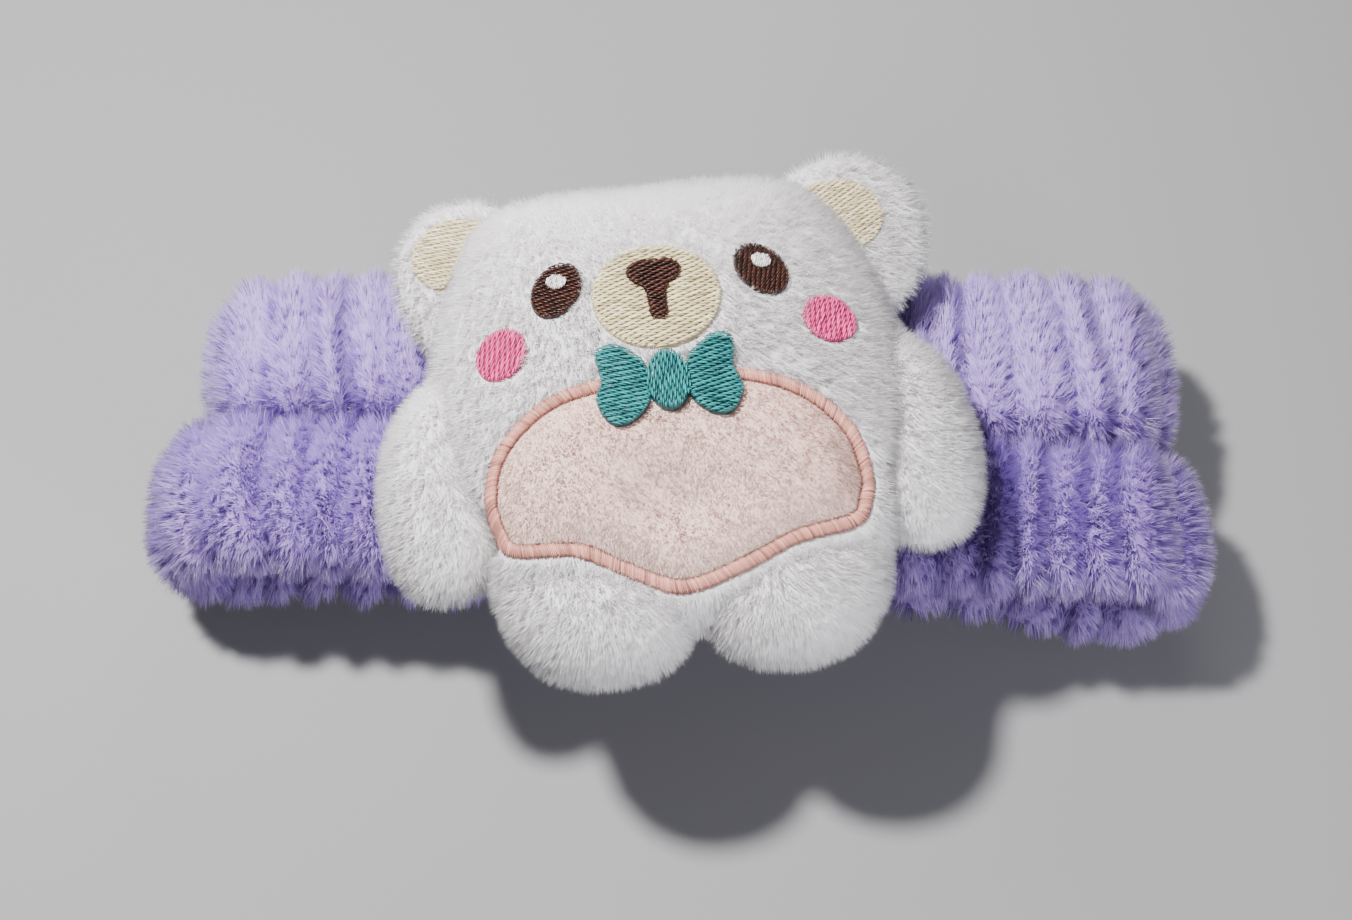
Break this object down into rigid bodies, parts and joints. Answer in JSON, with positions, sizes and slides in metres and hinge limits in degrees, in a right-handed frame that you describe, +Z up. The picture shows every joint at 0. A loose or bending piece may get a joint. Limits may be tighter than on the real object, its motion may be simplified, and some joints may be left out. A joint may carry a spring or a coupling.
{
  "type": "spa headband",
  "caption": "Elastic headband of long-pile plush in two stitched rolls, lying flattened, with a stuffed embroidered bear sewn on its front.",
  "frame": {"origin": "under the middle of the whole part, on the surface it lies on", "axes": "+X along the band, +Y towards the bear's head, +Z up off the surface, the way the bear faces"},
  "size_m": [0.23, 0.1194, 0.084],
  "materials": {
    "plush": "long-pile coral plush, lavender",
    "elastic": "woven elastic, white",
    "fleece": "short-pile plush, white",
    "stuffing": "polyester fibre fill",
    "velour": "short velour, pale pink",
    "border_thread": "satin-stitched thread, dusty pink",
    "cream_thread": "embroidery thread, cream",
    "brown_thread": "embroidery thread, dark brown",
    "white_thread": "embroidery thread, white",
    "pink_thread": "embroidery thread, pink",
    "teal_thread": "embroidery thread, teal"
  },
  "bodies": {
    "rear_centre": {"rear_centre_cover": "plush", "rear_centre_lower_elastic": "elastic", "rear_centre_upper_elastic": "elastic"},
    "rear_left": {"rear_left_cover": "plush", "rear_left_lower_elastic": "elastic", "rear_left_upper_elastic": "elastic"},
    "left_fold": {"left_fold_cover": "plush", "left_fold_lower_elastic": "elastic", "left_fold_upper_elastic": "elastic"},
    "front_left": {"front_left_cover": "plush", "front_left_lower_elastic": "elastic", "front_left_upper_elastic": "elastic"},
    "front_centre": {"front_centre_cover": "plush", "front_centre_lower_elastic": "elastic", "front_centre_upper_elastic": "elastic", "body_back_panel": "fleece", "body_front_panel": "fleece", "body_stuffing": "stuffing", "bow_knot": "teal_thread", "bow_left_wing": "teal_thread", "bow_right_wing": "teal_thread", "left_cheek": "pink_thread", "left_eye": "brown_thread", "left_eye_highlight": "white_thread", "muzzle": "cream_thread", "nose": "brown_thread", "right_cheek": "pink_thread", "right_eye": "brown_thread", "right_eye_highlight": "white_thread", "tummy_border_lower": "border_thread", "tummy_border_upper": "border_thread", "tummy_patch": "velour"},
    "rear_right": {"rear_right_cover": "plush", "rear_right_lower_elastic": "elastic", "rear_right_upper_elastic": "elastic"},
    "right_fold": {"right_fold_cover": "plush", "right_fold_lower_elastic": "elastic", "right_fold_upper_elastic": "elastic"},
    "front_right": {"front_right_cover": "plush", "front_right_lower_elastic": "elastic", "front_right_upper_elastic": "elastic"},
    "left_arm": {"left_arm_back_panel": "fleece", "left_arm_front_panel": "fleece", "left_arm_stuffing": "stuffing"},
    "right_arm": {"right_arm_back_panel": "fleece", "right_arm_front_panel": "fleece", "right_arm_stuffing": "stuffing"},
    "left_leg": {"left_leg_back_panel": "fleece", "left_leg_front_panel": "fleece", "left_leg_stuffing": "stuffing"},
    "right_leg": {"right_leg_back_panel": "fleece", "right_leg_front_panel": "fleece", "right_leg_stuffing": "stuffing"},
    "left_ear": {"left_ear_back_panel": "fleece", "left_ear_front_panel": "fleece", "left_ear_patch": "cream_thread"},
    "right_ear": {"right_ear_back_panel": "fleece", "right_ear_front_panel": "fleece", "right_ear_patch": "cream_thread"}
  },
  "joints": [
    {"name": "loop_open", "type": "hinge", "parent": "rear_centre", "child": "rear_left", "pos_m": [-0.035, 0.00743, 0.021], "axis": [0, 1, 0], "range_deg": [0, 50]},
    {"name": "left_fold_turn", "type": "hinge", "parent": "rear_left", "child": "left_fold", "pos_m": [-0.091, 0.00743, 0], "axis": [0, -1, 0], "range_deg": [0, 50]},
    {"name": "front_left_turn", "type": "hinge", "parent": "left_fold", "child": "front_left", "pos_m": [-0.091, 0.00743, 0.048], "axis": [0, -1, 0], "range_deg": [0, 50]},
    {"name": "front_centre_turn", "type": "hinge", "parent": "front_left", "child": "front_centre", "pos_m": [-0.035, 0.00743, 0.027], "axis": [0, 1, 0], "range_deg": [0, 50]},
    {"name": "rear_right_turn", "type": "hinge", "parent": "rear_centre", "child": "rear_right", "pos_m": [0.035, 0.00743, 0.021], "axis": [0, -1, 0], "range_deg": [0, 50]},
    {"name": "right_fold_turn", "type": "hinge", "parent": "rear_right", "child": "right_fold", "pos_m": [0.091, 0.00743, 0], "axis": [0, 1, 0], "range_deg": [0, 50]},
    {"name": "front_right_turn", "type": "hinge", "parent": "right_fold", "child": "front_right", "pos_m": [0.091, 0.00743, 0.048], "axis": [0, 1, 0], "range_deg": [0, 50]},
    {"name": "left_arm_bend", "type": "hinge", "parent": "front_centre", "child": "left_arm", "pos_m": [-0.04447, -0.01414, 0.0707], "axis": [-0.359, 0.9333, 0], "range_deg": [0, 60], "stiffness_Nm_per_rad": 0.02},
    {"name": "right_arm_bend", "type": "hinge", "parent": "front_centre", "child": "right_arm", "pos_m": [0.04406, -0.00327, 0.0707], "axis": [-0.1225, -0.9925, 0], "range_deg": [0, 60], "stiffness_Nm_per_rad": 0.02},
    {"name": "left_leg_bend", "type": "hinge", "parent": "front_centre", "child": "left_leg", "pos_m": [-0.01602, -0.04314, 0.0717], "axis": [-0.9867, 0.1624, 0], "range_deg": [0, 50], "stiffness_Nm_per_rad": 0.02},
    {"name": "right_leg_bend", "type": "hinge", "parent": "front_centre", "child": "right_leg", "pos_m": [0.02348, -0.03829, 0.0717], "axis": [-0.9181, -0.3963, 0], "range_deg": [0, 50], "stiffness_Nm_per_rad": 0.02},
    {"name": "left_ear_bend", "type": "hinge", "parent": "front_centre", "child": "left_ear", "pos_m": [-0.04548, 0.03057, 0.0608], "axis": [0.3863, 0.9224, 0], "range_deg": [0, 65], "stiffness_Nm_per_rad": 0.02},
    {"name": "right_ear_bend", "type": "hinge", "parent": "front_centre", "child": "right_ear", "pos_m": [0.03422, 0.04036, 0.0608], "axis": [0.598, -0.8015, 0], "range_deg": [0, 65], "stiffness_Nm_per_rad": 0.02}
  ],
  "couplings": [
    {"joint": "left_fold_turn", "follows": "loop_open", "ratio": 1},
    {"joint": "front_left_turn", "follows": "loop_open", "ratio": 1},
    {"joint": "front_centre_turn", "follows": "loop_open", "ratio": 1},
    {"joint": "rear_right_turn", "follows": "loop_open", "ratio": 1},
    {"joint": "right_fold_turn", "follows": "loop_open", "ratio": 1},
    {"joint": "front_right_turn", "follows": "loop_open", "ratio": 1}
  ]
}
